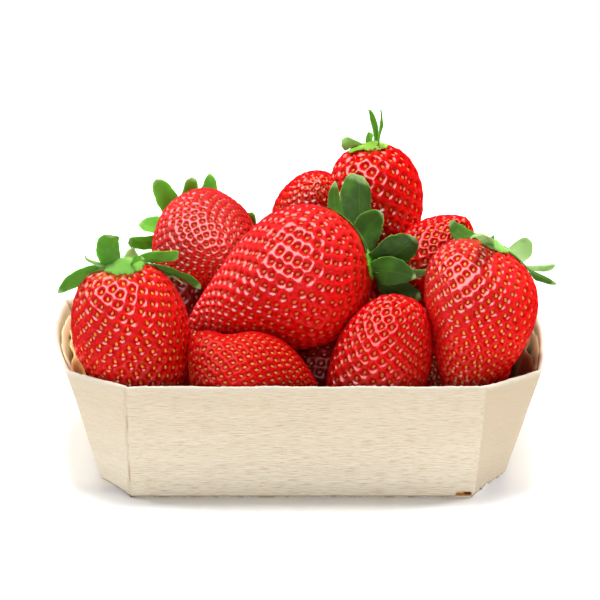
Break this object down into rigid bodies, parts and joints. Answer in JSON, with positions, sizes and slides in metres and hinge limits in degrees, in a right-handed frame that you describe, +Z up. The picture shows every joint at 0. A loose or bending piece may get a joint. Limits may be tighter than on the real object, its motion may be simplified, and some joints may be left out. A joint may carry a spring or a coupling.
{
  "type": "punnet of strawberries",
  "caption": "Open rectangular wood veneer basket with cut corners and bowed ends, heaped above its rim with ripe leafy strawberries.",
  "frame": {"origin": "middle of the underside of the basket's floor", "axes": "+Z up, +X along the basket to its right as seen from the front, +Y from the front long wall to the rear one"},
  "size_m": [0.1588, 0.1038, 0.1063],
  "materials": {
    "veneer": "raw peeled veneer with fine long grain, matt",
    "flesh": "ripe strawberry flesh, glossy red skin with seeds in pits",
    "leaf": "fresh strawberry leaf, green with paler underside"
  },
  "bodies": {
    "root": {"basket": "veneer", "strawberries": "flesh", "leaves_front_left": "leaf", "leaves_front_right": "leaf", "leaves_centre": "leaf", "leaves_top": "leaf", "leaves_back_left": "leaf", "leaves_back_mid": "leaf", "leaves_rear_left": "leaf", "leaves_rear_right": "leaf"}
  },
  "joints": []
}
